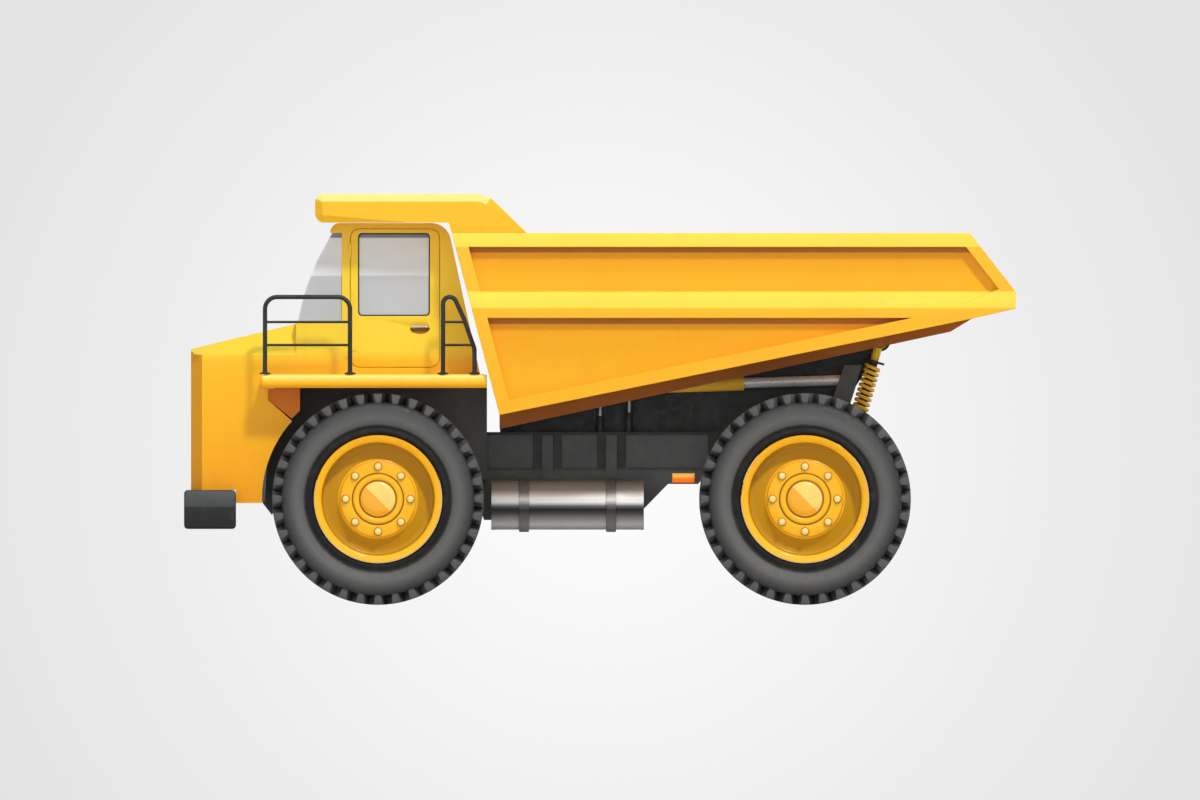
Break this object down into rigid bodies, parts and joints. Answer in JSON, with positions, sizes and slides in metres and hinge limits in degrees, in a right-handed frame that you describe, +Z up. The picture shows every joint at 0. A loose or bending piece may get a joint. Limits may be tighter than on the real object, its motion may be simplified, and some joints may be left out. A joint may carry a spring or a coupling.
{
  "type": "rigid dump truck",
  "caption": "Two-axle off-highway haul truck with a side cab, canopied dump bed tipped by hoist cylinders, steered front wheels and twin rear wheels.",
  "frame": {"origin": "on the ground under the middle of the truck's length and width", "axes": "+X forward, +Y to the driver's left, +Z up"},
  "size_m": [8.32, 4, 4.11],
  "materials": {
    "yellow_paint": "gloss",
    "amber_paint": "satin",
    "frame_grey": "satin",
    "black_paint": "satin",
    "cast_dark": "matte",
    "tyre_rubber": "matte",
    "polished_metal": "polished",
    "bright_steel": "brushed",
    "window_glass": "clear",
    "clear_lens": "clear",
    "amber_lens": "gloss",
    "seat_fabric": "woven",
    "dark_plastic": "matte"
  },
  "bodies": {
    "chassis": {"frame_rail_left": "frame_grey", "frame_rail_right": "frame_grey", "frame_spine": "frame_grey", "frame_cross_members": "frame_grey", "engine_block": "cast_dark", "front_axle_beam": "black_paint", "front_struts": "black_paint", "rear_axle": "black_paint", "rear_struts": "black_paint", "rear_springs": "yellow_paint", "tanks": "polished_metal", "tank_straps": "black_paint", "side_lamps": "amber_lens", "bed_rest_posts": "bright_steel", "bed_pivot_pin": "bright_steel", "nose_cowl": "yellow_paint", "headlamps": "clear_lens", "grille": "black_paint", "radiator": "black_paint", "front_bumper": "black_paint", "wheel_wells": "black_paint", "deck": "yellow_paint", "handrails": "black_paint", "cab_floor": "black_paint", "cab_front_panel": "yellow_paint", "cab_roof": "yellow_paint", "cab_rear_wall": "yellow_paint", "cab_left_wall": "yellow_paint", "cab_right_wall": "yellow_paint", "cab_glass": "window_glass", "driver_seat": "seat_fabric", "dashboard": "dark_plastic", "steering_wheel": "dark_plastic"},
    "bed": {"bed_floor": "yellow_paint", "bed_left_side": "yellow_paint", "bed_right_side": "yellow_paint", "bed_front_wall": "yellow_paint", "bed_canopy": "yellow_paint", "bed_sills": "amber_paint"},
    "cab_door": {"cab_door": "yellow_paint", "door_glass": "window_glass", "door_handle": "polished_metal"},
    "knuckle_left": {"knuckle_left": "black_paint"},
    "front_wheel_left": {"front_tyre_left": "tyre_rubber", "front_rim_left": "yellow_paint"},
    "rear_wheels_left": {"rear_tyres_left": "tyre_rubber", "rear_rims_left": "yellow_paint"},
    "hoist_barrel_left": {"hoist_barrel_left": "yellow_paint"},
    "hoist_rod_left": {"hoist_rod_left": "polished_metal"},
    "knuckle_right": {"knuckle_right": "black_paint"},
    "front_wheel_right": {"front_tyre_right": "tyre_rubber", "front_rim_right": "yellow_paint"},
    "rear_wheels_right": {"rear_tyres_right": "tyre_rubber", "rear_rims_right": "yellow_paint"},
    "hoist_barrel_right": {"hoist_barrel_right": "yellow_paint"},
    "hoist_rod_right": {"hoist_rod_right": "polished_metal"},
    "tie_rod": {"tie_rod": "black_paint"}
  },
  "joints": [
    {"name": "bed_tip", "type": "hinge", "parent": "chassis", "child": "bed", "pos_m": [-2.8, 0, 2.64], "axis": [0, -1, 0], "range_deg": [0, 50]},
    {"name": "steer_left", "type": "hinge", "parent": "chassis", "child": "knuckle_left", "pos_m": [2.22, 1.45, 1.06], "axis": [0, 0, 1], "range_deg": [-35, 35]},
    {"name": "steer_right", "type": "hinge", "parent": "chassis", "child": "knuckle_right", "pos_m": [2.22, -1.45, 1.06], "axis": [0, 0, 1], "range_deg": [-35, 35]},
    {"name": "tie_rod_swing", "type": "hinge", "parent": "knuckle_left", "child": "tie_rod", "pos_m": [1.9, 1.45, 0.97], "axis": [0, 0, 1], "range_deg": [-35, 35]},
    {"name": "cab_door_hinge", "type": "hinge", "parent": "chassis", "child": "cab_door", "pos_m": [2.5, 1.516, 3], "axis": [0, 0, -1], "range_deg": [0, 70]},
    {"name": "front_wheel_left_spin", "type": "hinge", "parent": "knuckle_left", "child": "front_wheel_left", "pos_m": [2.22, 1.6, 1.06], "axis": [0, 1, 0], "continuous": true},
    {"name": "rear_wheels_left_spin", "type": "hinge", "parent": "chassis", "child": "rear_wheels_left", "pos_m": [-2.05, 1.62, 1.06], "axis": [0, 1, 0], "continuous": true},
    {"name": "hoist_left_swing", "type": "hinge", "parent": "bed", "child": "hoist_barrel_left", "pos_m": [-0.45, 0.45, 2.19], "axis": [0, -1, 0], "range_deg": [0, 4.1]},
    {"name": "hoist_left_extend", "type": "slide", "parent": "hoist_barrel_left", "child": "hoist_rod_left", "axis": [-0.9996, 0, 0.0298], "range_m": [0, 0.412]},
    {"name": "front_wheel_right_spin", "type": "hinge", "parent": "knuckle_right", "child": "front_wheel_right", "pos_m": [2.22, -1.6, 1.06], "axis": [0, 1, 0], "continuous": true},
    {"name": "rear_wheels_right_spin", "type": "hinge", "parent": "chassis", "child": "rear_wheels_right", "pos_m": [-2.05, -1.62, 1.06], "axis": [0, 1, 0], "continuous": true},
    {"name": "hoist_right_swing", "type": "hinge", "parent": "bed", "child": "hoist_barrel_right", "pos_m": [-0.45, -0.45, 2.19], "axis": [0, -1, 0], "range_deg": [0, 4.1]},
    {"name": "hoist_right_extend", "type": "slide", "parent": "hoist_barrel_right", "child": "hoist_rod_right", "axis": [-0.9996, 0, 0.0298], "range_m": [0, 0.412]}
  ],
  "couplings": [
    {"joint": "steer_right", "follows": "steer_left", "ratio": 1},
    {"joint": "tie_rod_swing", "follows": "steer_left", "ratio": -1},
    {"joint": "hoist_left_swing", "follows": "bed_tip", "ratio": 0.0812},
    {"joint": "hoist_left_extend", "follows": "bed_tip", "m_per_rad": 0.4708},
    {"joint": "hoist_right_swing", "follows": "bed_tip", "ratio": 0.0812},
    {"joint": "hoist_right_extend", "follows": "bed_tip", "m_per_rad": 0.4708}
  ]
}
